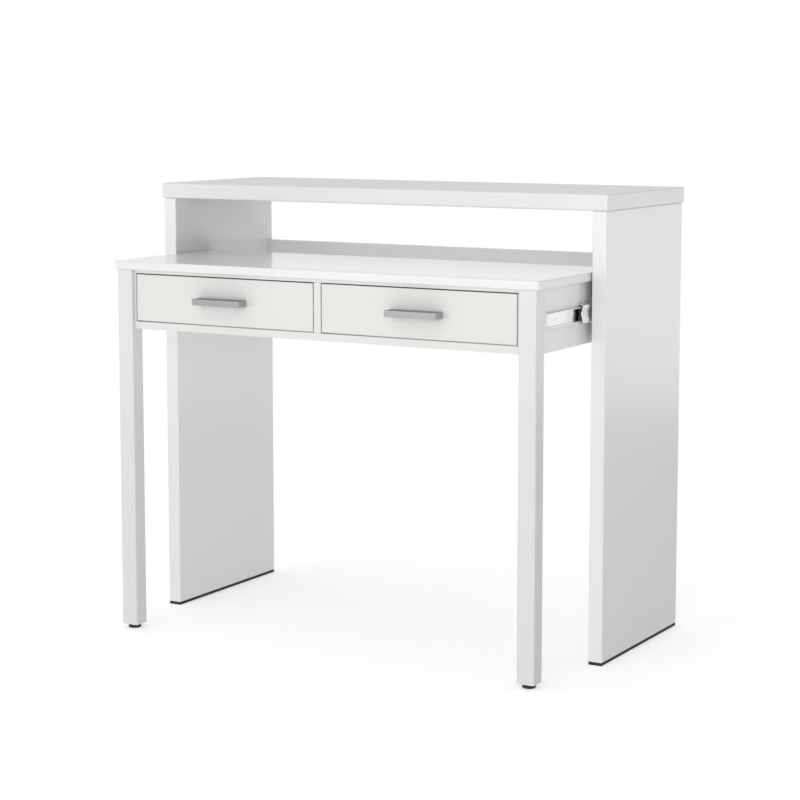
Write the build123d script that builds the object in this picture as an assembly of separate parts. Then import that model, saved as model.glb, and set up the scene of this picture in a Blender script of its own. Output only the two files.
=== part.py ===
from build123d import *
import os

# Secretary desk: a console with a deep top slab on two panels, and a writing desk with two
# drawers that pulls out from under it. The desk's front stands on two legs and its back hangs
# on telescopic slides fixed to the panels. It is drawn with the desk part of the way out.
# Millimetres. X runs across the desk, +Y to the wall, +Z up; Z = 0 is the floor.

os.makedirs("parts", exist_ok=True)

# ---- Console ------------------------------------------------------------------------------
console_width = 986.0
console_height = 870.0
console_depth = 360.0
top_thickness = 30.0
panel_thickness = 28.0
top_overhang = 3.0          # slab past the panels, on every side
top_rounding = 2.0          # lacquered edges of slab and panels
glide_height = 5.5
glide_inset = 0.6           # behind the panel's faces
rail_thickness = 16.0
rail_height = 130.0
rail_above_desktop = 8.0

# ---- Pull-out desk ------------------------------------------------------------------------
desk_height = 728.0
shown_out = 207.0           # how far the desk is drawn out of the console
desktop_thickness = 16.0
desktop_side_gap = 3.0      # to each panel
desktop_rear_gap = 6.0      # to the rail, desk pushed in
desktop_rounding = 1.2
leg_width = 35.0
leg_depth = 33.0
leg_rounding = 1.2
leg_side_setback = 6.0      # under the desktop's edge
leg_front_setback = 3.0
foot_diameter = 25.0
foot_height = 8.0
foot_rounding = 1.5
spigot_diameter = 8.0
spigot_length = 20.0
frame_recess = 7.0          # front frame and drawers behind the legs' front
top_rail_height = 7.0
bottom_rail_height = 14.0
opening_height = 94.0
stile_width = 4.5
partition_thickness = 15.0
apron_thickness = 18.0
back_apron_thickness = 16.0
back_apron_setback = 5.0
board_rounding = 0.8

# ---- Telescopic slides --------------------------------------------------------------------
slide_thickness = 12.7
slide_height = 45.0
member_wall = 1.2
cage_wall = 0.6
cage_gap = 0.4              # between a cage and the webs beside it
cage_strip = 1.4
ball_diameter = 4.4
ball_bite = 0.4             # how deep a ball sits in each raceway
ball_clearance = 0.05
outer_ball_depth = 6.4      # ball rows, measured from the fixing face
inner_ball_depth = 8.3
outer_flange_depth = 9.6
middle_flange_depth = 11.2
inner_flange_clearance = 0.4
slide_behind_leg = 12.0     # desk pushed in
slide_before_rail = 3.0
middle_recess = 23.0        # middle member's nose behind the outer's front, desk pushed in
outer_cage_start = 92.0
inner_cage_start = 137.0
cage_end_gap = 3.0          # inner cage to the slide's back end, desk pushed in
balls_per_row = 6
stop_reach = 3.0            # ahead of the middle member's nose
stop_length = 11.0
stop_tongue = 12.0          # behind the stop
stop_tongue_thickness = 1.0
stop_thickness = 5.0
stop_clearance = 1.0
stop_waist = 2.5            # how far the stop's ends are hollowed
nose_bulge = 8.0            # how far the middle member's front end swells forward

# ---- Drawers ------------------------------------------------------------------------------
drawer_gap = 2.0
front_thickness = 16.0
box_wall = 12.0
box_lift = 10.0             # above the opening's floor
box_headroom = 14.0         # under the opening's top
box_rear_gap = 28.0         # to the back apron
bottom_thickness = 4.0
bottom_groove = 5.0
bottom_lift = 9.0
runner_height = 35.0
runner_end_gap = 10.0       # to the back of the drawer box
runner_tip_clearance = 1.2
runner_start = 2.0          # behind the front frame
handle_length = 107.0
handle_height = 12.0
handle_reach = 26.0
handle_wall = 2.0
handle_rounding = 0.6
post_diameter = 9.0
post_spacing = 64.0
handle_screw_diameter = 4.0
handle_screw_head = 8.0
handle_screw_head_height = 2.2
handle_screw_bite = 12.0

# ---- Joinery ------------------------------------------------------------------------------
fit = 0.05                  # radial, dowels and screws in their holes
dowel_diameter = 8.0
dowel_length = 24.0
dowel_end_gap = 0.5
slab_dowel_margin = 45.0    # from the panels' front and back
frame_dowel_margin = 25.0   # from the aprons' top and bottom
screw_diameter = 3.5
screw_head = 6.8
screw_bite = 12.0
member_screw_margin = 20.0  # from the ends of a slide
apron_screw_front = 165.0   # behind the inner member's front end, clear of its cage
apron_screw_back = 15.0
rail_screw_margin = 40.0    # from the ends of the top rail's opening
cam_diameter = 15.0
cam_height = 12.0
cam_inset = 34.0
cam_margin = 30.0           # from the rail's top and bottom edge
cam_bolt_diameter = 6.0
cam_bolt_bite = 11.0
bracket_leg = 14.0
bracket_width = 20.0
bracket_thickness = 2.0
bracket_margin = 60.0       # from the ends of the drawer opening
bracket_screw_reach = 8.4   # from the bracket's corner

# ---- Places that several pieces share -----------------------------------------------------
drawer_setback = leg_front_setback + frame_recess
overall_depth = console_depth + shown_out + handle_reach - drawer_setback
console_back = overall_depth / 2
console_front = console_back - console_depth
panel_front = console_front + top_overhang
panel_back = console_back - top_overhang
panel_outer = console_width / 2 - top_overhang
panel_inner = panel_outer - panel_thickness
slab_bottom = console_height - top_thickness
rail_front = panel_back - rail_thickness

desk_front = console_front - shown_out
desk_depth = rail_front - desktop_rear_gap - console_front
desk_back = desk_front + desk_depth
desktop_edge = panel_inner - desktop_side_gap
desk_underside = desk_height - desktop_thickness
leg_outer = desktop_edge - leg_side_setback
leg_inner = leg_outer - leg_width
leg_front = desk_front + leg_front_setback
leg_back = leg_front + leg_depth
frame_front = leg_front + frame_recess
apron_outer = panel_inner - slide_thickness
apron_inner = apron_outer - apron_thickness
opening_top = desk_underside - top_rail_height
opening_bottom = opening_top - opening_height
apron_bottom = opening_bottom - bottom_rail_height
opening_edge = leg_inner - stile_width
back_apron_front = desk_back - back_apron_setback - back_apron_thickness

slide_level = (desk_underside + apron_bottom) / 2
slide_front = console_front + leg_front_setback + leg_depth + slide_behind_leg
slide_length = rail_front - slide_before_rail - slide_front
cage_length = slide_length - inner_cage_start - cage_end_gap
raceway_gap = ball_diameter - 2 * ball_bite
outer_ball_level = slide_height / 2 - member_wall - raceway_gap / 2
middle_half_height = slide_height / 2 - member_wall - raceway_gap
inner_ball_level = middle_half_height - member_wall - raceway_gap / 2
inner_half_height = middle_half_height - member_wall - raceway_gap
outer_cage_depth = member_wall + cage_gap
middle_web_depth = outer_cage_depth + cage_wall + cage_gap
inner_cage_depth = middle_web_depth + member_wall + cage_gap
inner_tip_depth = inner_cage_depth + cage_wall + inner_flange_clearance

sides = (("left", -1), ("right", 1))
X_AXIS = (1, 0, 0)
Y_AXIS = (0, 1, 0)
Z_AXIS = (0, 0, 1)
parts = {}


# ---- Shapes -------------------------------------------------------------------------------
def block(x_span, y_span, z_span):
    """Box between three pairs of limits, given in either order."""
    spans = (x_span, y_span, z_span)
    middle = [(first + last) / 2 for first, last in spans]
    sizes = [abs(last - first) for first, last in spans]
    return Pos(*middle) * Box(*sizes)


def board(x_span, y_span, z_span, rounding=board_rounding):
    """Lacquered board: a box with every edge eased."""
    plain = block(x_span, y_span, z_span)
    return fillet(plain.edges(), rounding)


def rod(start, direction, diameter, length):
    """Round bar from a point along a direction."""
    bar = Cylinder(diameter / 2, length, align=(Align.CENTER, Align.CENTER, Align.MIN))
    return Plane(origin=start, z_dir=direction) * bar


def cone(start, direction, first_diameter, last_diameter, length):
    """Cone from a point along a direction."""
    taper = Cone(first_diameter / 2, last_diameter / 2, length,
                 align=(Align.CENTER, Align.CENTER, Align.MIN))
    return Plane(origin=start, z_dir=direction) * taper


def along(point, direction, distance):
    """The point moved a distance along a direction."""
    return tuple(p + distance * d for p, d in zip(point, direction))


def opposite(direction):
    """The direction turned round."""
    return tuple(-d for d in direction)


def dowel(joint, direction):
    """Wooden dowel centred on the joint line between two boards."""
    start = along(joint, direction, -dowel_length / 2)
    return rod(start, direction, dowel_diameter, dowel_length)


def dowel_hole(joint, direction):
    """Room for a dowel, drilled into both boards."""
    start = along(joint, direction, -dowel_length / 2 - dowel_end_gap)
    return rod(start, direction, dowel_diameter + 2 * fit, dowel_length + 2 * dowel_end_gap)


def flush_screw(surface, direction, sheet):
    """Countersunk screw, its head flush with a sheet's surface, driven along a direction."""
    head = cone(surface, direction, screw_head, screw_diameter, sheet)
    shank = rod(along(surface, direction, sheet), direction, screw_diameter, screw_bite)
    return head + shank


def flush_screw_hole(surface, direction, sheet):
    """Room for a countersunk screw in the sheet and in the wood behind it."""
    head = cone(surface, direction, screw_head + 2 * fit, screw_diameter + 2 * fit, sheet)
    start = along(surface, direction, sheet)
    shank = rod(start, direction, screw_diameter + 2 * fit, screw_bite + dowel_end_gap)
    return head + shank


def spread(first, last, count):
    """Evenly spaced places from first to last."""
    return [first + (last - first) * step / (count - 1) for step in range(count)]


def keep(name, *solids):
    """Store the separate solids of one node."""
    found = [solid for shape in solids for solid in shape.solids()]
    parts[name] = found[0] if len(found) == 1 else Compound(found)


def channel(face, inward, web, tip, half_height, y_span, level, wall=member_wall):
    """Rolled channel: a web at one depth from the fixing face and two flanges to the tip."""
    low, high = sorted((web, tip))
    x_span = (face + inward * low, face + inward * high)
    shell = block(x_span, y_span, (level - half_height, level + half_height))
    hollow_from = web + wall if tip > web else web - wall
    beyond = tip + wall if tip > web else tip - wall
    inside = half_height - wall
    hollow = block((face + inward * hollow_from, face + inward * beyond),
                   (y_span[0] - wall, y_span[1] + wall), (level - inside, level + inside))
    return shell - hollow


def raceways(face, inward, depth, ball_level, y_span, level):
    """The two grooves that a slide's upper and lower row of balls run in."""
    grooves = []
    for row in (-1, 1):
        start = (face + inward * depth, y_span[0], level + row * ball_level)
        groove = ball_diameter + 2 * ball_clearance
        grooves.append(rod(start, Y_AXIS, groove, y_span[1] - y_span[0]))
    return grooves


def ball_places(face, inward, depth, ball_level, start, level):
    """Centres of the balls that one cage carries."""
    margin = ball_diameter
    rows = spread(start + margin, start + cage_length - margin, balls_per_row)
    x = face + inward * depth
    return [(x, y, level + row * ball_level) for row in (-1, 1) for y in rows]


def cage(face, inward, web, depth, ball_level, start, level):
    """Cage: a thin web with a strip along each row of balls, and a pocket for each ball."""
    y_span = (start, start + cage_length)
    tip = depth + ball_diameter / 2
    half = ball_level + cage_strip / 2
    body = channel(face, inward, web, tip, half, y_span, level, wall=cage_wall)
    for row in (-1, 1):
        strip_level = level + row * ball_level
        body += block((face + inward * web, face + inward * tip), y_span,
                      (strip_level - cage_strip / 2, strip_level + cage_strip / 2))
    pocket = ball_diameter + 2 * ball_clearance
    for x, y, z in ball_places(face, inward, depth, ball_level, start, level):
        body -= rod((x, y, z - cage_strip), Z_AXIS, pocket, 2 * cage_strip)
    return body


def balls(places):
    """Steel balls at a list of centres."""
    return [Pos(*place) * Sphere(ball_diameter / 2) for place in places]


# ---- Console: slab, panels, rail and glides -----------------------------------------------
panel_middle = (panel_outer + panel_inner) / 2
dowel_rows = spread(panel_front + slab_dowel_margin, panel_back - slab_dowel_margin, 3)
slab_dowels = [(side * panel_middle, y, slab_bottom) for _, side in sides for y in dowel_rows]
slab_holes = [dowel_hole(joint, Z_AXIS) for joint in slab_dowels]

console_top = board((-console_width / 2, console_width / 2), (console_front, console_back),
                    (slab_bottom, console_height), top_rounding)
for hole in slab_holes:
    console_top -= hole
keep("console_top", console_top)
keep("panel_dowels", *[dowel(joint, Z_AXIS) for joint in slab_dowels])

rail_top = desk_height + rail_above_desktop
rail_bottom = rail_top - rail_height
back_rail = board((-panel_inner, panel_inner), (rail_front, panel_back), (rail_bottom, rail_top))
rail_middle = (rail_front + panel_back) / 2
cam_bolts = []
cams = []
bolt_holes = []
for _, side in sides:
    for z in (rail_bottom + cam_margin, rail_top - cam_margin):
        outward = (side, 0, 0)
        cam_x = side * (panel_inner - cam_inset)
        bolt_start = (cam_x, rail_middle, z)
        bolt_length = cam_inset + cam_bolt_bite
        cam_bolts.append(rod(bolt_start, outward, cam_bolt_diameter, bolt_length))
        bolt_hole = rod(bolt_start, outward, cam_bolt_diameter + 2 * fit, bolt_length + fit)
        bolt_holes.append(bolt_hole)
        cam_face = (cam_x, panel_back, z)
        cam = rod(cam_face, opposite(Y_AXIS), cam_diameter, cam_height)
        slot_start = (cam_x - side * cam_bolt_diameter, rail_middle, z)
        slot = rod(slot_start, outward, cam_bolt_diameter + 2 * fit, cam_diameter)
        cams.append(cam - slot)
        back_rail -= rod(cam_face, opposite(Y_AXIS), cam_diameter + 2 * fit, cam_height + fit)
        back_rail -= bolt_hole
keep("back_rail", back_rail)
keep("rail_cams", *cams)
keep("rail_cam_bolts", *cam_bolts)

outer_screws = []
outer_screw_rows = spread(slide_front + member_screw_margin,
                          slide_front + slide_length - member_screw_margin, 4)
for name, side in sides:
    panel = board((side * panel_inner, side * panel_outer), (panel_front, panel_back),
                  (glide_height, slab_bottom), top_rounding)
    for hole in slab_holes + bolt_holes:
        panel -= hole
    for y in outer_screw_rows:
        head_face = (side * (panel_inner - member_wall), y, slide_level)
        outer_screws.append(flush_screw(head_face, (side, 0, 0), member_wall))
        panel -= flush_screw_hole(head_face, (side, 0, 0), member_wall)
    keep(f"console_side_{name}", panel)
    glide = block((side * (panel_inner + glide_inset), side * (panel_outer - glide_inset)),
                  (panel_front + glide_inset, panel_back - glide_inset), (0, glide_height))
    keep(f"glide_strip_{name}", glide)
keep("slide_panel_screws", *outer_screws)

# ---- Telescopic slides --------------------------------------------------------------------
# The middle member goes half as far as the desk, the cages a quarter and three quarters.
outer_span = (slide_front, slide_front + slide_length)
inner_span = (slide_front - shown_out, slide_front + slide_length - shown_out)
middle_start = slide_front + middle_recess - shown_out / 2
middle_span = (middle_start, middle_start + slide_length - middle_recess)
outer_cage_front = slide_front + outer_cage_start - shown_out / 4
inner_cage_front = slide_front + inner_cage_start - shown_out * 3 / 4
apron_screw_rows = spread(inner_span[0] + apron_screw_front, inner_span[1] - apron_screw_back, 3)
outer_cages = []
inner_cages = []
outer_balls = []
inner_balls = []
apron_screws = []
apron_screw_holes = []
for name, side in sides:
    face = side * panel_inner
    inward = -side
    outer_races = raceways(face, inward, outer_ball_depth, outer_ball_level, outer_span, slide_level)
    outer = channel(face, inward, 0, outer_flange_depth, slide_height / 2, outer_span, slide_level)
    for groove in outer_races:
        outer -= groove
    for y in outer_screw_rows:
        outer -= flush_screw_hole((side * (panel_inner - member_wall), y, slide_level),
                                  (side, 0, 0), member_wall)
    keep(f"slide_outer_{name}", outer)

    middle = channel(face, inward, middle_web_depth, middle_flange_depth, middle_half_height,
                     middle_span, slide_level)
    for groove in raceways(face, inward, outer_ball_depth, outer_ball_level, middle_span, slide_level):
        middle -= groove
    for groove in raceways(face, inward, inner_ball_depth, inner_ball_level, middle_span, slide_level):
        middle -= groove
    nose_radius = (middle_half_height ** 2 + nose_bulge ** 2) / (2 * nose_bulge)
    nose_start = (face, middle_start + nose_radius, slide_level)
    nose_depth = middle_flange_depth + member_wall
    nose = block((face, face + inward * nose_depth), (middle_start, middle_start + nose_bulge),
                 (slide_level - slide_height / 2, slide_level + slide_height / 2))
    middle -= nose - rod(nose_start, (inward, 0, 0), 2 * nose_radius, nose_depth)
    keep(f"slide_middle_{name}", middle)

    tip = inner_tip_depth
    inner = channel(face, inward, slide_thickness, tip, inner_half_height, inner_span, slide_level)
    for groove in raceways(face, inward, inner_ball_depth, inner_ball_level, inner_span, slide_level):
        inner -= groove
    for y in apron_screw_rows:
        head_face = (side * (apron_outer + member_wall), y, slide_level)
        apron_screws.append(flush_screw(head_face, (inward, 0, 0), member_wall))
        apron_screw_holes.append(flush_screw_hole(head_face, (inward, 0, 0), member_wall))
    for hole in apron_screw_holes:
        inner -= hole
    keep(f"slide_inner_{name}", inner)

    outer_cages.append(cage(face, inward, outer_cage_depth, outer_ball_depth, outer_ball_level,
                            outer_cage_front, slide_level))
    inner_cages.append(cage(face, inward, inner_cage_depth, inner_ball_depth, inner_ball_level,
                            inner_cage_front, slide_level))
    outer_balls += balls(ball_places(face, inward, outer_ball_depth, outer_ball_level,
                                     outer_cage_front, slide_level))
    inner_balls += balls(ball_places(face, inward, inner_ball_depth, inner_ball_level,
                                     inner_cage_front, slide_level))

    # The stop fills the inner member's channel ahead of the middle member; its tongue lies
    # on the middle member's web.
    stop_half = inner_half_height - member_wall - stop_clearance
    stop_front = middle_start - stop_reach
    stop_back = stop_front + stop_length
    seat = middle_web_depth + member_wall
    stop_tip = seat + stop_thickness
    stop = block((face + inward * seat, face + inward * stop_tip), (stop_front, stop_back),
                 (slide_level - stop_half, slide_level + stop_half))
    waist_radius = (stop_half ** 2 + stop_waist ** 2) / (2 * stop_waist)
    for centre in (stop_front + stop_waist - waist_radius, stop_back - stop_waist + waist_radius):
        waist_start = (face + inward * seat, centre, slide_level)
        stop -= rod(waist_start, (inward, 0, 0), 2 * waist_radius, stop_thickness)
    stop += block((face + inward * seat, face + inward * (seat + stop_tongue_thickness)),
                  (stop_front + stop_length / 2, stop_back + stop_tongue),
                  (slide_level - stop_half / 2, slide_level + stop_half / 2))
    keep(f"slide_stop_{name}", stop)
keep("slide_outer_cages", *outer_cages)
keep("slide_inner_cages", *inner_cages)
keep("slide_outer_balls", *outer_balls)
keep("slide_inner_balls", *inner_balls)
keep("slide_apron_screws", *apron_screws)

# ---- Desk: top, legs and feet -------------------------------------------------------------
rail_depth_span = (frame_front, leg_back)
rail_screw_rows = spread(rail_screw_margin - opening_edge, opening_edge - rail_screw_margin, 4)
bracket_rows = spread(bracket_margin - opening_edge, opening_edge - bracket_margin, 4)
desktop_screws = []
desktop_holes = []
for x in rail_screw_rows:
    surface = (x, (frame_front + leg_back) / 2, opening_top)
    desktop_screws.append(flush_screw(surface, Z_AXIS, top_rail_height))
    desktop_holes.append(flush_screw_hole(surface, Z_AXIS, top_rail_height))

brackets = []
bracket_holes = []
for x in bracket_rows:
    x_span = (x - bracket_width / 2, x + bracket_width / 2)
    upright = block(x_span, (back_apron_front - bracket_thickness, back_apron_front),
                    (desk_underside - bracket_leg, desk_underside))
    flat = block(x_span, (back_apron_front - bracket_leg, back_apron_front),
                 (desk_underside - bracket_thickness, desk_underside))
    bracket = upright + flat
    up_from = (x, back_apron_front - bracket_screw_reach, desk_underside - bracket_thickness)
    back_from = (x, back_apron_front - bracket_thickness, desk_underside - bracket_screw_reach)
    for surface, direction in ((up_from, Z_AXIS), (back_from, Y_AXIS)):
        desktop_screws.append(flush_screw(surface, direction, bracket_thickness))
        hole = flush_screw_hole(surface, direction, bracket_thickness)
        bracket_holes.append(hole)
        bracket -= hole
    brackets.append(bracket)

desktop = board((-desktop_edge, desktop_edge), (desk_front, desk_back),
                (desk_underside, desk_height), desktop_rounding)
for hole in desktop_holes + bracket_holes:
    desktop -= hole
keep("desktop", desktop)
keep("desktop_screws", *desktop_screws)
keep("desktop_brackets", *brackets)

leg_middle_x = (leg_outer + leg_inner) / 2
leg_middle_y = (leg_front + leg_back) / 2
apron_dowel_x = (apron_outer + apron_inner) / 2
apron_dowel_levels = (apron_bottom + frame_dowel_margin, desk_underside - frame_dowel_margin)
rail_dowel_y = (frame_front + leg_back) / 2
rail_dowel_z = (apron_bottom + opening_bottom) / 2
frame_joints = []
for _, side in sides:
    for z in apron_dowel_levels:
        frame_joints.append(((side * apron_dowel_x, leg_back, z), Y_AXIS))
        frame_joints.append(((side * apron_inner, (back_apron_front + desk_back
                              - back_apron_setback) / 2, z), X_AXIS))
    frame_joints.append(((side * leg_inner, rail_dowel_y, rail_dowel_z), X_AXIS))
for z in apron_dowel_levels:
    frame_joints.append(((0, back_apron_front, z), Y_AXIS))
frame_holes = [dowel_hole(joint, direction) for joint, direction in frame_joints]
keep("frame_dowels", *[dowel(joint, direction) for joint, direction in frame_joints])

for name, side in sides:
    leg = board((side * leg_inner, side * leg_outer), (leg_front, leg_back),
                (foot_height, desk_underside), leg_rounding)
    for hole in frame_holes:
        leg -= hole
    foot_centre = (side * leg_middle_x, leg_middle_y, 0)
    spigot_hole = rod((side * leg_middle_x, leg_middle_y, foot_height), Z_AXIS,
                      spigot_diameter + 2 * fit, spigot_length + dowel_end_gap)
    keep(f"leg_{name}", leg - spigot_hole)
    disc = rod(foot_centre, Z_AXIS, foot_diameter, foot_height)
    disc = fillet(disc.edges().group_by(Axis.Z)[0], foot_rounding)
    spigot = rod((side * leg_middle_x, leg_middle_y, foot_height), Z_AXIS,
                 spigot_diameter, spigot_length)
    keep(f"foot_{name}", disc + spigot)

# ---- Desk: front frame, aprons and battens ------------------------------------------------
top_rail = board((-leg_inner, leg_inner), rail_depth_span, (opening_top, desk_underside))
for hole in desktop_holes:
    top_rail -= hole
keep("front_top_rail", top_rail)

bottom_rail = board((-leg_inner, leg_inner), rail_depth_span, (apron_bottom, opening_bottom))
for hole in frame_holes:
    bottom_rail -= hole
keep("front_bottom_rail", bottom_rail)

partition = board((-partition_thickness / 2, partition_thickness / 2),
                  (frame_front, back_apron_front), (opening_bottom, opening_top))
for hole in frame_holes:
    partition -= hole
keep("centre_partition", partition)

back_apron = board((-apron_inner, apron_inner),
                   (back_apron_front, back_apron_front + back_apron_thickness),
                   (apron_bottom, desk_underside))
for hole in frame_holes + bracket_holes:
    back_apron -= hole
keep("back_apron", back_apron)

for name, side in sides:
    stile = board((side * opening_edge, side * leg_inner), rail_depth_span,
                  (opening_bottom, opening_top))
    keep(f"stile_{name}", stile)
    apron = board((side * apron_inner, side * apron_outer),
                  (leg_back, back_apron_front + back_apron_thickness),
                  (apron_bottom, desk_underside))
    for hole in frame_holes + apron_screw_holes:
        apron -= hole
    keep(f"side_apron_{name}", apron)

# ---- Drawers ------------------------------------------------------------------------------
# Each drawer runs on a pair of two-member runners: the fixed member on a batten or on the
# partition, the moving member on the drawer's side.
box_bottom = opening_bottom + box_lift
box_top = opening_top - box_headroom
box_front = frame_front + front_thickness
box_back = back_apron_front - box_rear_gap
runner_span = (box_front + runner_start, box_back - runner_end_gap)
runner_level = (box_bottom + box_top) / 2
runner_ball_level = runner_height / 2 - member_wall - raceway_gap / 2
moving_half_height = runner_height / 2 - member_wall - raceway_gap
groove_bottom = box_bottom + bottom_lift
groove_span = (groove_bottom - fit, groove_bottom + bottom_thickness + fit)
fixed_runners = []
for name, side in sides:
    low_edge, high_edge = sorted((side * partition_thickness / 2, side * opening_edge))
    box_left = low_edge + slide_thickness
    box_right = high_edge - slide_thickness
    front_span = (low_edge + drawer_gap, high_edge - drawer_gap)
    drawer_middle = (low_edge + high_edge) / 2
    handle_level = (opening_bottom + opening_top) / 2

    front = board(front_span, (frame_front, box_front),
                  (opening_bottom + drawer_gap, opening_top - drawer_gap))
    handle_screws = []
    for x in (drawer_middle - post_spacing / 2, drawer_middle + post_spacing / 2):
        head_start = (x, box_front + handle_screw_head_height, handle_level)
        head = rod(head_start, opposite(Y_AXIS), handle_screw_head, handle_screw_head_height)
        shank_length = front_thickness + handle_screw_bite
        shank_start = (x, box_front, handle_level)
        shank = rod(shank_start, opposite(Y_AXIS), handle_screw_diameter, shank_length)
        handle_screws.append(head + shank)
        front -= rod(shank_start, opposite(Y_AXIS), handle_screw_diameter + 2 * fit, shank_length)
    keep(f"drawer_{name}_front", front)
    keep(f"drawer_{name}_handle_screws", *handle_screws)

    # Handle: a shell with a closed top, open underneath for the fingers, on two posts.
    handle_front = frame_front - handle_reach
    handle_span = (drawer_middle - handle_length / 2, drawer_middle + handle_length / 2)
    handle_levels = (handle_level - handle_height / 2, handle_level + handle_height / 2)
    shell = board(handle_span, (handle_front, frame_front), handle_levels, handle_rounding)
    shell -= block((handle_span[0] + handle_wall, handle_span[1] - handle_wall),
                   (handle_front + handle_wall, frame_front + handle_wall),
                   (handle_levels[0] - handle_wall, handle_levels[1] - handle_wall))
    post_length = handle_reach - handle_wall
    for x in (drawer_middle - post_spacing / 2, drawer_middle + post_spacing / 2):
        post_start = (x, frame_front, handle_level)
        shell += rod(post_start, opposite(Y_AXIS), post_diameter, post_length)
        bite = handle_screw_bite + dowel_end_gap
        shell -= rod(post_start, opposite(Y_AXIS), handle_screw_diameter + 2 * fit, bite)
    keep(f"drawer_{name}_handle", shell)

    bottom_left = box_left + box_wall - bottom_groove
    bottom_right = box_right - box_wall + bottom_groove
    bottom_back = box_back - box_wall + bottom_groove
    groove = block((bottom_left - fit, bottom_right + fit), (box_front, bottom_back + fit),
                   groove_span)
    walls = {
        "side_left": block((box_left, box_left + box_wall), (box_front, box_back),
                           (box_bottom, box_top)),
        "side_right": block((box_right - box_wall, box_right), (box_front, box_back),
                            (box_bottom, box_top)),
        "back": block((box_left + box_wall, box_right - box_wall), (box_back - box_wall, box_back),
                      (box_bottom, box_top)),
    }
    for wall_name, wall in walls.items():
        keep(f"drawer_{name}_{wall_name}", wall - groove)
    bottom = block((bottom_left, bottom_right), (box_front, bottom_back),
                   (groove_bottom, groove_bottom + bottom_thickness))
    keep(f"drawer_{name}_bottom", bottom)

    moving_runners = []
    for face, inward in ((low_edge, 1), (high_edge, -1)):
        races = raceways(face, inward, outer_ball_depth, runner_ball_level, runner_span, runner_level)
        fixed = channel(face, inward, 0, outer_flange_depth, runner_height / 2, runner_span,
                        runner_level)
        tip = member_wall + runner_tip_clearance
        moving = channel(face, inward, slide_thickness, tip, moving_half_height, runner_span,
                         runner_level)
        for groove in races:
            fixed -= groove
            moving -= groove
        fixed_runners.append(fixed)
        moving_runners.append(moving)
    keep(f"drawer_{name}_runners", *moving_runners)

    batten = board((side * opening_edge, side * apron_inner), (leg_back, back_apron_front),
                   (apron_bottom, desk_underside))
    keep(f"runner_batten_{name}", batten)
keep("drawer_fixed_runners", *fixed_runners)

for name, solid in parts.items():
    export_step(solid, f"parts/{name}.step")
print(len(parts), "nodes")
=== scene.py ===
import math
import bmesh
import bpy
from mathutils import Matrix, Vector


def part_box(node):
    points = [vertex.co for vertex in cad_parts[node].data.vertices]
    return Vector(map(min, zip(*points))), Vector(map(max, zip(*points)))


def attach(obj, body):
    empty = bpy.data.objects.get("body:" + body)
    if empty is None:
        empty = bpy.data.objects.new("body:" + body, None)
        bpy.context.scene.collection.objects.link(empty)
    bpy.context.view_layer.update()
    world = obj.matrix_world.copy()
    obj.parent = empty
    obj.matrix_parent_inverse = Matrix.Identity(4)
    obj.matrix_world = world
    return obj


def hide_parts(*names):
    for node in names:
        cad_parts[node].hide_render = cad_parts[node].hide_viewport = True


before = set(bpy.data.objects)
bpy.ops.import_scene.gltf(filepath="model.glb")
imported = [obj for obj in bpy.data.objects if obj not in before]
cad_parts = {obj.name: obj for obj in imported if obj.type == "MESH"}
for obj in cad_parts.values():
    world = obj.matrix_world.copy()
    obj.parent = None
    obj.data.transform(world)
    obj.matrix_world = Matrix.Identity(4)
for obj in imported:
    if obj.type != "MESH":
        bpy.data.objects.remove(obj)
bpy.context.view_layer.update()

# ---- Camera --------------------------------------------------------------------------------
# A long lens a little above the top slab, out to the right of the desk.
camera_place = Vector((2.0746, -3.5699, 1.0539))
camera_turn = math.radians(29.88)
camera_dip = math.radians(6.77)
camera_lens_mm = 95.73
camera_shift = -0.07

camera_data = bpy.data.cameras.new("camera")
camera_data.sensor_width = 36
camera_data.lens = camera_lens_mm
camera_data.shift_y = camera_shift
camera = bpy.data.objects.new("camera", camera_data)
camera.location = camera_place
camera.rotation_euler = (math.radians(90) - camera_dip, 0, camera_turn)
bpy.context.scene.collection.objects.link(camera)
bpy.context.scene.camera = camera

# ---- Studio --------------------------------------------------------------------------------
# A white sweep lit from all round: two soft lights in front of the desk, a bright band of wall
# just under the horizon that the gloss picks up, and a floor that only takes a faint shadow.
floor_reach = 30
floor_grey = 0.90
floor_glow = 0.30
room_low = 0.25
room_band = 1.35
room_level = 0.50
room_back = 1.10
room_high = 0.88
ramp_edge = 30.0            # elevation where the bands end, below and above the horizon
right_side_loss = 0.42
key_watts = {"left": 22, "right": 48}
key_width = 2.6
key_reach = 1.7
key_distance = -5.0
key_height = 1.5
key_dip = math.radians(80)
key_turn = math.radians(19)


def hex_colour(code):
    """Linear colour of an sRGB hex value."""
    channels = [int(code[i:i + 2], 16) / 255 for i in (1, 3, 5)]
    return tuple(c / 12.92 if c <= 0.04045 else ((c + 0.055) / 1.055) ** 2.4
                 for c in channels) + (1,)


def add_node(tree, kind, settings=(), **links):
    """Add a node: settings are its own values or its sockets' values, links feed its sockets."""
    node = tree.nodes.new(kind)
    for key, value in dict(settings).items():
        if isinstance(key, int) or key in node.inputs:
            node.inputs[key].default_value = value
        else:
            setattr(node, key, value)
    for key, source in links.items():
        socket = int(key[1:]) if key[0] == "i" and key[1:].isdigit() else key.replace("_", " ")
        tree.links.new(source, node.inputs[socket])
    return node


def blank_finish(name):
    """A new material, with its node tree and its shader."""
    finish = bpy.data.materials.new(name)
    finish.use_nodes = True
    return finish, finish.node_tree, finish.node_tree.nodes["Principled BSDF"]


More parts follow.
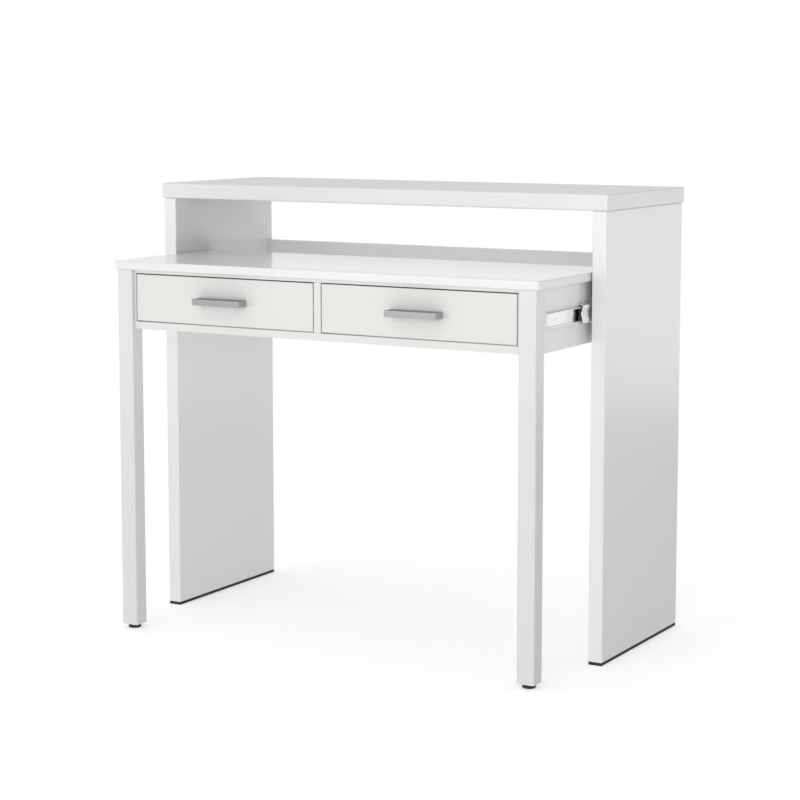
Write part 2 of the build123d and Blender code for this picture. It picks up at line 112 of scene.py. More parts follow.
floor_mesh = bpy.data.meshes.new("floor")
floor_form = bmesh.new()
bmesh.ops.create_grid(floor_form, x_segments=1, y_segments=1, size=floor_reach)
floor_form.to_mesh(floor_mesh)
floor_form.free()
floor = bpy.data.objects.new("floor", floor_mesh)
bpy.context.scene.collection.objects.link(floor)
floor.visible_glossy = False
floor_paper, tree, paper = blank_finish("floor_paper")
paper.inputs["Base Color"].default_value = (floor_grey, floor_grey, floor_grey, 1)
paper.inputs["Roughness"].default_value = 1
paper.inputs["Specular IOR Level"].default_value = 0
paper.inputs["Emission Color"].default_value = (1, 1, 1, 1)
paper.inputs["Emission Strength"].default_value = floor_glow
floor_mesh.materials.append(floor_paper)

room = bpy.data.worlds.new("room")
room.use_nodes = True
bpy.context.scene.world = room
tree = room.node_tree
direction = add_node(tree, "ShaderNodeTexCoord")
height = add_node(tree, "ShaderNodeSeparateXYZ", i0=direction.outputs["Generated"])
# The ramp runs over the sine of the elevation; a band is an elevation and a brightness.
ramp_half = math.sin(math.radians(ramp_edge))
ramp_place = add_node(tree, "ShaderNodeMapRange",
                      {"From Min": -ramp_half, "From Max": ramp_half}, Value=height.outputs["Z"])
ramp = add_node(tree, "ShaderNodeValToRGB", Fac=ramp_place.outputs["Result"])
bands = ((-22.0, room_high), (-16.0, room_low), (-9.0, room_low), (-7.5, room_band),
         (-2.5, room_band), (0.5, room_level), (3.5, room_level), (4.3, room_back),
         (10.0, room_back), (14.0, room_level), (ramp_edge, room_high))
while len(ramp.color_ramp.elements) < len(bands):
    ramp.color_ramp.elements.new(0.5)
for element, (degrees, level) in zip(ramp.color_ramp.elements, bands):
    element.position = (math.sin(math.radians(degrees)) + ramp_half) / (2 * ramp_half)
    element.color = (level, level, level, 1)
side_loss = add_node(tree, "ShaderNodeMapRange", {"To Min": 1.0, "To Max": 1 - right_side_loss},
                     Value=height.outputs["X"])
dimmed = add_node(tree, "ShaderNodeVectorMath", {"operation": "SCALE"},
                  i0=ramp.outputs["Color"], Scale=side_loss.outputs["Result"])
seen = add_node(tree, "ShaderNodeLightPath")
colour = add_node(tree, "ShaderNodeMix", {"data_type": "RGBA", 7: (1, 1, 1, 1)},
                  i0=seen.outputs["Is Camera Ray"], i6=dimmed.outputs["Vector"])
tree.links.new(colour.outputs[2], tree.nodes["Background"].inputs["Color"])
bpy.context.scene.view_settings.view_transform = "Standard"

for side, turn in (("left", -1), ("right", 1)):
    key = bpy.data.lights.new(f"key_{side}", "AREA")
    key.energy = key_watts[side]
    key.size = key_width
    lamp = bpy.data.objects.new(f"key_{side}", key)
    lamp.location = (turn * key_reach, key_distance, key_height)
    lamp.rotation_euler = (key_dip, 0, turn * key_turn)
    bpy.context.scene.collection.objects.link(lamp)

# ---- Console top ---------------------------------------------------------------------------
# The deep slab over the console: MDF, sprayed white all round and doweled down on the two
# side panels. Its edges are sanded soft before the lacquer goes on.
slab_easing = 0.0022
board_corner = math.radians(60)     # an edge turned further than this is a board's corner
crease = math.radians(50)           # an edge turned further than this is shaded sharp
weld = 1e-6


def board_form(low, high, easing, upright_easing=None, segments=4):
    """Board between two corners, its upright corners and then all its edges eased."""
    form = bmesh.new()
    bmesh.ops.create_cube(form, size=1)
    bmesh.ops.scale(form, vec=high - low, verts=form.verts)
    bmesh.ops.translate(form, vec=(low + high) / 2, verts=form.verts)
    if upright_easing:
        uprights = [e for e in form.edges if abs((e.verts[0].co - e.verts[1].co).z) > easing]
        bmesh.ops.bevel(form, geom=uprights, offset=upright_easing, offset_type="OFFSET",
                        affect="EDGES", segments=segments, profile=0.5, material=-1)
        sharp = [e for e in form.edges if e.calc_face_angle() > board_corner]
    else:
        sharp = list(form.edges)
    bmesh.ops.bevel(form, geom=sharp, offset=easing, offset_type="OFFSET", affect="EDGES",
                    segments=segments, profile=0.5, material=-1)
    return form


def place_piece(name, form, body, slot, finish, *nodes):
    """Put a finished form in the scene, on its body, in place of the CAD nodes it stands for."""
    mesh = bpy.data.meshes.new(name)
    bmesh.ops.remove_doubles(form, verts=form.verts, dist=weld)
    bmesh.ops.recalc_face_normals(form, faces=form.faces)
    for face in form.faces:
        face.smooth = True
    for edge in form.edges:
        if edge.is_manifold and edge.calc_face_angle() > crease:
            edge.smooth = False
    form.to_mesh(mesh)
    form.free()
    mesh.materials.append(finish)
    piece = bpy.data.objects.new(name, mesh)
    bpy.context.scene.collection.objects.link(piece)
    weighted = piece.modifiers.new("even_shading", "WEIGHTED_NORMAL")
    weighted.keep_sharp = True
    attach(piece, body)
    if nodes:
        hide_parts(*nodes)
    return piece


def sprayed_lacquer(name, pale, deep, gloss):
    """White polyurethane lacquer sprayed on MDF, two coats, cured to a satin gloss.

    To the eye: an even white that drifts a little over a hand's width, a clear reflection with
    a fine ripple (orange peel, 2 mm apart) and a slow wave where the board was sanded.
    """
    finish, tree, shader = blank_finish(name)
    shader.inputs["IOR"].default_value = 1.5
    shader.inputs["Coat Weight"].default_value = 0.5
    shader.inputs["Coat Roughness"].default_value = 0.07
    place = add_node(tree, "ShaderNodeTexCoord")
    drift = add_node(tree, "ShaderNodeTexNoise", {"Scale": 1 / 0.16, "Detail": 2.0},
                     Vector=place.outputs["Object"])
    colour = add_node(tree, "ShaderNodeMix", {"data_type": "RGBA", 6: hex_colour(pale),
                                              7: hex_colour(deep)}, i0=drift.outputs["Fac"])
    tree.links.new(colour.outputs[2], shader.inputs["Base Color"])
    haze = add_node(tree, "ShaderNodeTexNoise", {"Scale": 1 / 0.03, "Detail": 4.0},
                    Vector=place.outputs["Object"])
    rough = add_node(tree, "ShaderNodeMapRange", {"From Min": 0.3, "From Max": 0.7,
                                                  "To Min": gloss - 0.008, "To Max": gloss + 0.01},
                     Value=haze.outputs["Fac"])
    tree.links.new(rough.outputs["Result"], shader.inputs["Roughness"])
    wave = add_node(tree, "ShaderNodeTexNoise", {"Scale": 1 / 0.07, "Detail": 0.0},
                    Vector=place.outputs["Object"])
    slow = add_node(tree, "ShaderNodeBump", {"Strength": 0.3, "Distance": 0.000008},
                    Height=wave.outputs["Fac"])
    peel = add_node(tree, "ShaderNodeTexNoise", {"Scale": 1 / 0.002, "Detail": 1.0},
                    Vector=place.outputs["Object"])
    fine = add_node(tree, "ShaderNodeBump", {"Strength": 0.3, "Distance": 0.0000015},
                    Height=peel.outputs["Fac"], Normal=slow.outputs["Normal"])
    tree.links.new(fine.outputs["Normal"], shader.inputs["Normal"])
    tree.links.new(fine.outputs["Normal"], shader.inputs["Coat Normal"])
    return finish


def eased_board(name, node, body, slot, finish, easing, upright_easing=None):
    """Board of a CAD node's own size, its edges eased, in place of that node."""
    low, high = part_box(node)
    form = board_form(Vector(low), Vector(high), easing, upright_easing)
    return place_piece(name, form, body, slot, finish, node)


# The slab has the panels' lacquer, painted a shade greyer: painted shade that tones down the light
# on the slab.
shaded_slab_lacquer = sprayed_lacquer("shaded_slab_lacquer", "#e0e0e0", "#dedede", 0.20)
eased_board("top_slab", "console_top", "console", "console_lacquer", shaded_slab_lacquer, slab_easing)

# ---- Console side panels -------------------------------------------------------------------
# Two thick panels that carry the slab, the rail and the slides. Same sprayed MDF, with the
# same soft edges; their feet are hidden by the glide strips.
panel_easing = 0.0022

console_lacquer = sprayed_lacquer("console_lacquer", "#e9e9e9", "#e7e7e7", 0.20)
for side in ("left", "right"):
    eased_board(f"side_panel_{side}", f"console_side_{side}", "console", "console_lacquer",
                console_lacquer, panel_easing)

# ---- Glide strips --------------------------------------------------------------------------
# A strip of dark felt-backed plastic pinned under each panel, nearly flush with its faces,
# so that the lacquer stays off the floor.
strip_easing = 0.0008


def moulded_plastic(name, pale, deep, grain, depth, gloss):
    """Injection moulded polypropylene, spark-eroded tool finish.

    To the eye: nearly black, with a soft sheen broken by an even pebbled grain.
    """
    finish, tree, shader = blank_finish(name)
    shader.inputs["IOR"].default_value = 1.49
    place = add_node(tree, "ShaderNodeTexCoord")
    pebbles = add_node(tree, "ShaderNodeTexNoise", {"Scale": 1 / grain, "Detail": 3.0},
                       Vector=place.outputs["Object"])
    colour = add_node(tree, "ShaderNodeMix", {"data_type": "RGBA", 6: hex_colour(deep),
                                              7: hex_colour(pale)}, i0=pebbles.outputs["Fac"])
    tree.links.new(colour.outputs[2], shader.inputs["Base Color"])
    rough = add_node(tree, "ShaderNodeMapRange", {"From Min": 0.3, "From Max": 0.7,
                                                  "To Min": gloss - 0.06, "To Max": gloss + 0.06},
                     Value=pebbles.outputs["Fac"])
    tree.links.new(rough.outputs["Result"], shader.inputs["Roughness"])
    bump = add_node(tree, "ShaderNodeBump", {"Strength": 0.6, "Distance": depth},
                    Height=pebbles.outputs["Fac"])
    tree.links.new(bump.outputs["Normal"], shader.inputs["Normal"])
    return finish


glide_plastic = moulded_plastic("glide_plastic", "#242424", "#141414", 0.0009, 0.00006, 0.55)
for side in ("left", "right"):
    low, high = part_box(f"glide_strip_{side}")
    form = board_form(Vector(low), Vector(high), strip_easing, segments=2)
    place_piece(f"glide_{side}", form, "console", "glide_plastic", glide_plastic,
                f"glide_strip_{side}")

# ---- Back rail and its fittings ------------------------------------------------------------
# A lacquered rail across the back ties the panels together. It is drawn up by cams: turned
# zinc discs in its back face, closed on the bolts that stand in the panels.
cam_radius = 0.0075
cam_steps = 48
cam_edge = 0.0005
cam_rim = cam_radius * 0.35
cam_lip = cam_radius * 0.08
cam_sink = 0.0011
cam_reach = 0.05            # holds the disc being made, and none of those already placed


def finish_nodes(finish, *nodes):
    """Give CAD nodes that keep their own mesh their material."""
    for node in nodes:
        for material_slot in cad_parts[node].material_slots:
            material_slot.material = finish


def cast_zinc(name, pale, deep):
    """Die-cast zinc fitting, tumbled.

    To the eye: dull blue-grey metal with a mottled skin a millimetre or two across.
    """
    finish, tree, shader = blank_finish(name)
    shader.inputs["Metallic"].default_value = 1
    place = add_node(tree, "ShaderNodeTexCoord")
    skin = add_node(tree, "ShaderNodeTexNoise", {"Scale": 1 / 0.0015, "Detail": 5.0},
                    Vector=place.outputs["Object"])
    colour = add_node(tree, "ShaderNodeMix", {"data_type": "RGBA", 6: hex_colour(deep),
                                              7: hex_colour(pale)}, i0=skin.outputs["Fac"])
    tree.links.new(colour.outputs[2], shader.inputs["Base Color"])
    rough = add_node(tree, "ShaderNodeMapRange", {"To Min": 0.38, "To Max": 0.58},
                     Value=skin.outputs["Fac"])
    tree.links.new(rough.outputs["Result"], shader.inputs["Roughness"])
    bump = add_node(tree, "ShaderNodeBump", {"Strength": 0.5, "Distance": 0.00005},
                    Height=skin.outputs["Fac"])
    tree.links.new(bump.outputs["Normal"], shader.inputs["Normal"])
    return finish


finish_nodes(console_lacquer, "back_rail")
cam_zinc = cast_zinc("cam_zinc", "#a3a6a8", "#8b8e91")
low, high = (Vector(corner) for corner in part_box("rail_cams"))
cam_form = bmesh.new()
for x in (low.x + cam_radius, high.x - cam_radius):
    for z in (low.z + cam_radius, high.z - cam_radius):
        disc = bmesh.ops.create_cone(cam_form, cap_ends=True, segments=cam_steps,
                                     radius1=cam_radius, radius2=cam_radius,
                                     depth=high.y - low.y)["verts"]
        face = next(f for f in {f for v in disc for f in v.link_faces} if f.normal.z > 0.9)
        bmesh.ops.bevel(cam_form, geom=list(face.edges), offset=cam_edge, offset_type="OFFSET",
                        affect="EDGES", segments=2, profile=0.5, material=-1)
        face = max((f for f in cam_form.faces if f.calc_center_median().length < cam_reach),
                   key=lambda f: f.calc_center_median().z)
        bmesh.ops.inset_region(cam_form, faces=[face], thickness=cam_rim, depth=0)
        bmesh.ops.inset_region(cam_form, faces=[face], thickness=cam_lip, depth=-cam_sink)
        turned = [v for v in cam_form.verts if v.co.length < cam_reach]
        bmesh.ops.rotate(cam_form, verts=turned, cent=(0, 0, 0),
                         matrix=Matrix.Rotation(math.radians(-90), 3, "X"))
        bmesh.ops.translate(cam_form, verts=turned, vec=(x, (low.y + high.y) / 2, z))
place_piece("cam_discs", cam_form, "console", "cam_zinc", cam_zinc, "rail_cams")
finish_nodes(cam_zinc, "rail_cam_bolts")

# ---- Desktop -------------------------------------------------------------------------------
# The writing surface that slides out: a thinner lacquered board. Its front corners are
# rounded in plan and its edge is sanded to a small radius that catches the light.
desktop_easing = 0.0014
desktop_corner = 0.0045

desk_lacquer = sprayed_lacquer("desk_lacquer", "#e2e2e2", "#e0e0e0", 0.18)
eased_board("writing_top", "desktop", "desk", "desk_lacquer", desk_lacquer, desktop_easing,
            desktop_corner)

# ---- Legs ----------------------------------------------------------------------------------
# Two square legs under the desktop's front corners, of the same lacquered board glued up
# thick, with rounded corners all the way down.
leg_easing = 0.0014
leg_corner = 0.0028

leg_lacquer = sprayed_lacquer("leg_lacquer", "#dadada", "#d8d8d8", 0.22)
for side in ("left", "right"):
    eased_board(f"square_leg_{side}", f"leg_{side}", "desk", "desk_lacquer", leg_lacquer,
                leg_easing, leg_corner)

# ---- Feet ----------------------------------------------------------------------------------
# A round black glide knocked into the end of each leg: a moulded disc with a rounded lower rim
# and a shallow hollow underneath, and a stem that grips the hole.
foot_steps = 48
hollow_height = 0.0006
hollow_share = 0.55         # of the disc's radius, and where its slope ends
hollow_slope_share = 0.62
# The lower rim and the upper edge: how far in from the radius, and how high.
foot_rim = ((0.0022, 0), (0.0008, 0.0006), (0.0002, 0.0018), (0, 0.0032))
foot_edge = ((0.0003, 0.0074), (0.0009, 0.008))
stem_radius = 0.004
stem_chamfer = 0.001

foot_plastic = moulded_plastic("foot_plastic", "#1c1c1c", "#101010", 0.0008, 0.00005, 0.42)
for side in ("left", "right"):
    low, high = (Vector(corner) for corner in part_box(f"foot_{side}"))
    centre = (low + high) / 2
    radius = (high.x - low.x) / 2
    outline = ((0, hollow_height), (radius * hollow_share, hollow_height),
               (radius * hollow_slope_share, 0),
               *((radius - inward, up) for inward, up in foot_rim + foot_edge),
               (stem_radius, foot_edge[-1][1]), (stem_radius, high.z - stem_chamfer),
               (stem_radius - stem_chamfer, high.z), (0, high.z))
    form = bmesh.new()
    ring = [form.verts.new((r, 0, z)) for r, z in outline]
    edges = [form.edges.new(pair) for pair in zip(ring, ring[1:])]
    bmesh.ops.spin(form, geom=ring + edges, cent=(0, 0, 0), axis=(0, 0, 1),
                   angle=math.radians(360), steps=foot_steps, use_merge=True)
    bmesh.ops.remove_doubles(form, verts=form.verts, dist=weld)
    bmesh.ops.translate(form, verts=form.verts, vec=(centre.x, centre.y, 0))
    place_piece(f"foot_glide_{side}", form, "desk", "foot_plastic", foot_plastic,
                f"foot_{side}")

# ---- Front frame and centre partition ------------------------------------------------------
# Thin lacquered rails above and below the drawers, a narrow stile beside each leg, and the
# partition between the drawers. Glued and doweled, in the drawers' slightly warmer white.
frame_easing = 0.0008

frame_lacquer = sprayed_lacquer("frame_lacquer", "#dbdbd8", "#d9d9d6", 0.22)
for name, node in (("rail_above_drawers", "front_top_rail"),
                   ("rail_below_drawers", "front_bottom_rail"),
                   ("stile_strip_left", "stile_left"), ("stile_strip_right", "stile_right"),
                   ("middle_partition", "centre_partition")):
    eased_board(name, node, "desk", "frame_lacquer", frame_lacquer, frame_easing)

# ---- Aprons --------------------------------------------------------------------------------
# The boards round the desk's frame behind the legs. The side ones carry the slides and show
# when the desk is out; the back one closes the frame.
apron_easing = 0.0010

for name, node in (("side_board_left", "side_apron_left"),
                   ("side_board_right", "side_apron_right"), ("rear_board", "back_apron")):
    eased_board(name, node, "desk", "desk_lacquer", desk_lacquer, apron_easing)

# ---- Drawer fronts -------------------------------------------------------------------------
# Lacquered fronts set inside the frame with a narrow gap all round.
front_easing = 0.0010

front_lacquer = sprayed_lacquer("front_lacquer", "#dadad7", "#d8d8d5", 0.20)
for side in ("left", "right"):
    eased_board(f"drawer_face_{side}", f"drawer_{side}_front", f"drawer_{side}",
                "front_lacquer", front_lacquer, front_easing)

# ---- Drawer boxes --------------------------------------------------------------------------
# Plain boxes of melamine-faced chipboard behind the fronts, with a thin bottom in a groove.


def melamine(name, pale, deep):
    """Melamine paper pressed on chipboard between textured plates.

    To the eye: matt light grey, with a fine pearl texture under a millimetre across.
    """
    finish, tree, shader = blank_finish(name)
    shader.inputs["IOR"].default_value = 1.5
    place = add_node(tree, "ShaderNodeTexCoord")
    pearl = add_node(tree, "ShaderNodeTexVoronoi", {"Scale": 1 / 0.0009},
                     Vector=place.outputs["Object"])
    patch = add_node(tree, "ShaderNodeTexNoise", {"Scale": 1 / 0.05, "Detail": 3.0},
                     Vector=place.outputs["Object"])
    colour = add_node(tree, "ShaderNodeMix", {"data_type": "RGBA", 6: hex_colour(pale),
                                              7: hex_colour(deep)}, i0=patch.outputs["Fac"])
    tree.links.new(colour.outputs[2], shader.inputs["Base Color"])
    rough = add_node(tree, "ShaderNodeMapRange", {"To Min": 0.42, "To Max": 0.58},
                     Value=patch.outputs["Fac"])
    tree.links.new(rough.outputs["Result"], shader.inputs["Roughness"])
    bump = add_node(tree, "ShaderNodeBump", {"Strength": 0.4, "Distance": 0.00005},
                    Height=pearl.outputs["Distance"])
    tree.links.new(bump.outputs["Normal"], shader.inputs["Normal"])
    return finish


drawer_board = melamine("drawer_board", "#d8d8d6", "#cfcfcc")
finish_nodes(drawer_board, "runner_batten_left", "runner_batten_right",
             *(f"drawer_{side}_{wall}" for side in ("left", "right")
               for wall in ("side_left", "side_right", "back", "bottom")))

# ---- Handles -------------------------------------------------------------------------------
# A bar folded from steel sheet: closed on top, in front and at the ends, open below for the
# fingers. Polished along its length and plated in satin nickel, on two turned posts.
handle_wall = 0.002
handle_easing = 0.0007
post_radius = 0.0045
post_steps = 32
post_rim = 0.0004
post_spacing = 0.064


def brushed_nickel(name, pale, deep, top_shade_colour):
    """Steel nickel plated and brushed along its length, its top painted a dark grey.

    To the eye: a neutral grey with long fine scratches side by side, 0.4 mm apart as drawn; the
    top faces take a painted shade, darker than the front.
    """
    finish, tree, shader = blank_finish(name)
    shader.inputs["Metallic"].default_value = 1
    place = add_node(tree, "ShaderNodeTexCoord")
    stretch = add_node(tree, "ShaderNodeMapping", {"Scale": (0.02, 1, 1)},
                       Vector=place.outputs["Object"])
    scratch = add_node(tree, "ShaderNodeTexNoise", {"Scale": 1 / 0.0004, "Detail": 4.0},
                       Vector=stretch.outputs["Vector"])
    ground = add_node(tree, "ShaderNodeMix", {"data_type": "RGBA", 6: hex_colour(deep),
                                              7: hex_colour(pale)}, i0=scratch.outputs["Fac"])
    # Faces turned up take the dark colour: a painted shade on the handle's top.
    facing = add_node(tree, "ShaderNodeNewGeometry")
    forward = add_node(tree, "ShaderNodeSeparateXYZ", i0=facing.outputs["Normal"])
    front = add_node(tree, "ShaderNodeMapRange", {"From Min": 0.8, "From Max": 0.6},
                     Value=forward.outputs["Z"])
    colour = add_node(tree, "ShaderNodeMix", {"data_type": "RGBA", 6: hex_colour(top_shade_colour)},
                      i0=front.outputs["Result"], i7=ground.outputs[2])
    tree.links.new(colour.outputs[2], shader.inputs["Base Color"])
    rough = add_node(tree, "ShaderNodeMapRange", {"To Min": 0.20, "To Max": 0.34},
                     Value=scratch.outputs["Fac"])
    tree.links.new(rough.outputs["Result"], shader.inputs["Roughness"])
    bump = add_node(tree, "ShaderNodeBump", {"Strength": 0.4, "Distance": 0.00002},
                    Height=scratch.outputs["Fac"])
    tree.links.new(bump.outputs["Normal"], shader.inputs["Normal"])
    return finish


# The last colour is the painted shade on the handle's top.
handle_metal = brushed_nickel("handle_metal", "#b0b1b2", "#a6a7a8", "#404142")
for side in ("left", "right"):
    low, high = (Vector(corner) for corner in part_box(f"drawer_{side}_handle"))
    middle = (low + high) / 2
    form = bmesh.new()
    bmesh.ops.create_cube(form, size=1)
    bmesh.ops.scale(form, vec=high - low, verts=form.verts)
    bmesh.ops.translate(form, vec=middle, verts=form.verts)
    # The underside and the side against the drawer are left open.
    open_faces = [f for f in form.faces if f.normal.z < -0.9 or f.normal.y > 0.9]
    bmesh.ops.delete(form, geom=open_faces, context="FACES_ONLY")
    folds = [e for e in form.edges if len(e.link_faces) == 2]
    bmesh.ops.bevel(form, geom=folds, offset=handle_easing, offset_type="OFFSET",
                    affect="EDGES", segments=3, profile=0.5, material=-1)
    bmesh.ops.recalc_face_normals(form, faces=form.faces)
    top = max(form.faces, key=lambda f: f.calc_center_median().z)
    if top.normal.z < 0:
        bmesh.ops.reverse_faces(form, faces=form.faces)
    bmesh.ops.solidify(form, geom=form.faces, thickness=handle_wall)
    for x in (middle.x - post_spacing / 2, middle.x + post_spacing / 2):
        length = high.y - low.y - handle_wall
        post = bmesh.ops.create_cone(form, cap_ends=True, segments=post_steps,
                                     radius1=post_radius, radius2=post_radius,
                                     depth=length)["verts"]
        rim = {e for v in post for e in v.link_edges if min(v.co.z for v in e.verts) > 0}
        bmesh.ops.rotate(form, verts=post, cent=(0, 0, 0),
                         matrix=Matrix.Rotation(math.radians(-90), 3, "X"))
        bmesh.ops.translate(form, verts=post, vec=(x, high.y - length / 2, middle.z))
        bmesh.ops.bevel(form, geom=list(rim), offset=post_rim, offset_type="OFFSET",
                        affect="EDGES", segments=2, profile=0.5, material=-1)
    place_piece(f"bar_handle_{side}", form, f"drawer_{side}", "handle_metal", handle_metal,
                f"drawer_{side}_handle")

# ---- Telescopic slides ---------------------------------------------------------------------
# Three-part ball slides rolled from steel strip and zinc plated bright. The inner channel is
# screwed to the desk's side, the outer one to the console's panel, the middle one between.
member_wall = 0.0012
member_fold = 0.0016
shoulder_fold = 0.0034
nose_bulge = 0.008
nose_flat = 0.005
nose_cuts = 9
press_slope = 0.002
press_half = 0.0075
press_depth = 0.0010


def bright_zinc(name, pale, deep):
    """Cold-rolled steel, bright zinc plated.

    To the eye: pale silver with faint streaks along the rolling direction, 0.7 mm apart.
    """
    finish, tree, shader = blank_finish(name)
    shader.inputs["Metallic"].default_value = 1
    place = add_node(tree, "ShaderNodeTexCoord")
    stretch = add_node(tree, "ShaderNodeMapping", {"Scale": (1, 0.03, 1)},
                       Vector=place.outputs["Object"])
    streak = add_node(tree, "ShaderNodeTexNoise", {"Scale": 1 / 0.0007, "Detail": 3.0},
                      Vector=stretch.outputs["Vector"])
    cloud = add_node(tree, "ShaderNodeTexNoise", {"Scale": 1 / 0.012, "Detail": 2.0},
                     Vector=place.outputs["Object"])
    colour = add_node(tree, "ShaderNodeMix", {"data_type": "RGBA", 6: hex_colour(deep),
                                              7: hex_colour(pale)}, i0=streak.outputs["Fac"])
    tree.links.new(colour.outputs[2], shader.inputs["Base Color"])
    rough = add_node(tree, "ShaderNodeMapRange", {"To Min": 0.19, "To Max": 0.27},
                     Value=cloud.outputs["Fac"])
    tree.links.new(rough.outputs["Result"], shader.inputs["Roughness"])
    bump = add_node(tree, "ShaderNodeBump", {"Strength": 0.3, "Distance": 0.00002},
                    Height=streak.outputs["Fac"])
    tree.links.new(bump.outputs["Normal"], shader.inputs["Normal"])
    return finish


slide_zinc = bright_zinc("slide_zinc", "#fefefe", "#f8f8f9")


def rolled_section(low, high, web_side, fold):
    """Cross-section of a slide member: a web with folded edges, on one side of its box."""
    web = low.x if web_side < 0 else high.x
    tip = high.x if web_side < 0 else low.x
    form = bmesh.new()
    section = [form.verts.new((x, low.y, z)) for x, z in
               ((tip, high.z), (web, high.z), (web, low.z), (tip, low.z))]
    for pair in zip(section, section[1:]):
        form.edges.new(pair)
    bmesh.ops.bevel(form, geom=section[1:3], offset=fold, offset_type="OFFSET",
                    affect="VERTICES", segments=4, profile=0.5, material=-1)
    return form


def draw_on(form, edges, distance):
    """Roll a section further along the slide; gives back the edges at its new end."""
    drawn = bmesh.ops.extrude_edge_only(form, edges=edges)["geom"]
    bmesh.ops.translate(form, verts=[v for v in drawn if isinstance(v, bmesh.types.BMVert)],
                        vec=(0, distance, 0))
    return [e for e in drawn if isinstance(e, bmesh.types.BMEdge)]


def wall_up(form, web_side):
    """Give a rolled member its sheet thickness, inwards from its outer skin."""
    bmesh.ops.recalc_face_normals(form, faces=form.faces)
    flat = max(form.faces, key=lambda f: f.calc_area())
    if flat.normal.x * web_side < 0:
        bmesh.ops.reverse_faces(form, faces=form.faces)
    bmesh.ops.solidify(form, geom=form.faces, thickness=member_wall)


for side, outward in (("left", -1), ("right", 1)):
    # The outer channel's web lies on the panel, the inner one's on the desk's side board.
    for name, node, body, web_side in (
            (f"cabinet_channel_{side}", f"slide_outer_{side}", "console", outward),
            (f"desk_channel_{side}", f"slide_inner_{side}", "desk", -outward)):
        low, high = (Vector(corner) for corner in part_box(node))
        form = rolled_section(low, high, web_side, member_fold)
        draw_on(form, list(form.edges), high.y - low.y)
        wall_up(form, web_side)
        place_piece(name, form, body, "slide_zinc", slide_zinc, node)

    # The middle member has round shoulders, a nose that swells forward, and a shallow pressed
    # panel down its web behind the nose.
    low, high = (Vector(corner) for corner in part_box(f"slide_middle_{side}"))
    level = (low.z + high.z) / 2
    half = (high.z - low.z) / 2
    form = rolled_section(low, high, outward, shoulder_fold)
    web_edge = max(form.edges, key=lambda e: e.calc_length())
    bmesh.ops.subdivide_edges(form, edges=[web_edge], cuts=nose_cuts)
    for v in form.verts:
        v.co.y += nose_bulge * ((v.co.z - level) / half) ** 2
    ring = draw_on(form, list(form.edges), nose_flat)
    for step, pressed in ((press_slope, True), (high.y - low.y - nose_bulge - nose_flat
                                                - press_slope, False)):
        ring = draw_on(form, ring, step)
        if pressed:
            for v in {v for e in ring for v in e.verts if abs(v.co.z - level) < press_half}:
                v.co.x -= outward * press_depth
    for v in {v for e in ring for v in e.verts}:
        v.co.y = high.y
    wall_up(form, outward)
    place_piece(f"middle_channel_{side}", form, f"slide_middle_{side}", "slide_zinc",
                slide_zinc, f"slide_middle_{side}")

finish_nodes(slide_zinc, "drawer_fixed_runners", "drawer_left_runners", "drawer_right_runners")

# ---- Slide stops, cages and balls ----------------------------------------------------------
# A black moulded stop rides ahead of each middle member; thin plastic cages hold two rows of
# polished steel balls between the members.
stop_plastic = moulded_plastic("stop_plastic", "#1a1a1a", "#0e0e0e", 0.0006, 0.00004, 0.45)
cage_plastic = moulded_plastic("cage_plastic", "#262626", "#161616", 0.0006, 0.00003, 0.40)


def polished_steel(name, pale, deep):
    """Hardened steel ball, ground and polished.

    To the eye: a mirror with the faintest haze.
    """
    finish, tree, shader = blank_finish(name)
    shader.inputs["Metallic"].default_value = 1
    place = add_node(tree, "ShaderNodeTexCoord")
    haze = add_node(tree, "ShaderNodeTexNoise", {"Scale": 1 / 0.001, "Detail": 2.0},
                    Vector=place.outputs["Object"])
    colour = add_node(tree, "ShaderNodeMix", {"data_type": "RGBA", 6: hex_colour(deep),
                                              7: hex_colour(pale)}, i0=haze.outputs["Fac"])
    tree.links.new(colour.outputs[2], shader.inputs["Base Color"])
    rough = add_node(tree, "ShaderNodeMapRange", {"To Min": 0.06, "To Max": 0.14},
                     Value=haze.outputs["Fac"])
    tree.links.new(rough.outputs["Result"], shader.inputs["Roughness"])
    return finish


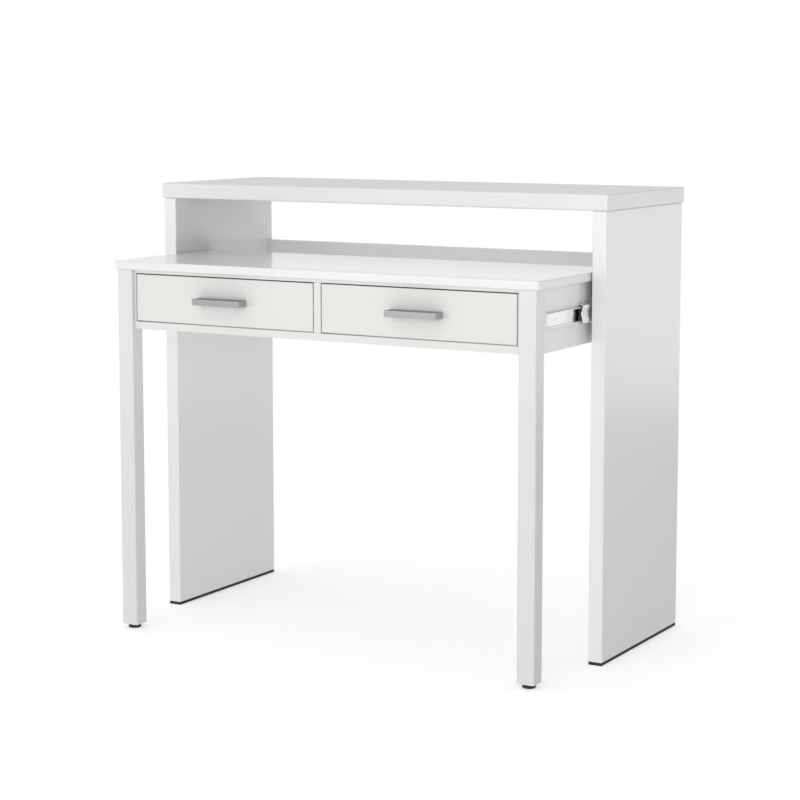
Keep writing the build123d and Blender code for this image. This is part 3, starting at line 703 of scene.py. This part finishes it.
ball_steel = polished_steel("ball_steel", "#d0d1d3", "#c4c5c8")
finish_nodes(stop_plastic, "slide_stop_left", "slide_stop_right")
finish_nodes(cage_plastic, "slide_outer_cages", "slide_inner_cages")
finish_nodes(ball_steel, "slide_outer_balls", "slide_inner_balls")

# ---- Screws, brackets and dowels -----------------------------------------------------------
# Zinc plated wood screws and sheet brackets, and fluted beech dowels, mostly hidden in the
# boards they hold.
screw_steel = cast_zinc("screw_steel", "#c9cacb", "#b3b4b6")
bracket_steel = bright_zinc("bracket_steel", "#d2d3d4", "#c3c4c6")


def turned_beech(name, pale, deep):
    """Beech, turned into dowels, unfinished.

    To the eye: pale pinkish straw with short darker flecks along the grain.
    """
    finish, tree, shader = blank_finish(name)
    place = add_node(tree, "ShaderNodeTexCoord")
    stretch = add_node(tree, "ShaderNodeMapping", {"Scale": (1, 1, 0.15)},
                       Vector=place.outputs["Object"])
    fleck = add_node(tree, "ShaderNodeTexNoise", {"Scale": 1 / 0.001, "Detail": 4.0},
                     Vector=stretch.outputs["Vector"])
    colour = add_node(tree, "ShaderNodeMix", {"data_type": "RGBA", 6: hex_colour(pale),
                                              7: hex_colour(deep)}, i0=fleck.outputs["Fac"])
    tree.links.new(colour.outputs[2], shader.inputs["Base Color"])
    rough = add_node(tree, "ShaderNodeMapRange", {"To Min": 0.6, "To Max": 0.75},
                     Value=fleck.outputs["Fac"])
    tree.links.new(rough.outputs["Result"], shader.inputs["Roughness"])
    bump = add_node(tree, "ShaderNodeBump", {"Strength": 0.4, "Distance": 0.0001},
                    Height=fleck.outputs["Fac"])
    tree.links.new(bump.outputs["Normal"], shader.inputs["Normal"])
    return finish


beech_dowel = turned_beech("beech_dowel", "#d9bb93", "#b98f63")
finish_nodes(screw_steel, "desktop_screws", "slide_panel_screws", "slide_apron_screws",
             "drawer_left_handle_screws", "drawer_right_handle_screws")
finish_nodes(bracket_steel, "desktop_brackets")
finish_nodes(beech_dowel, "panel_dowels", "frame_dowels")
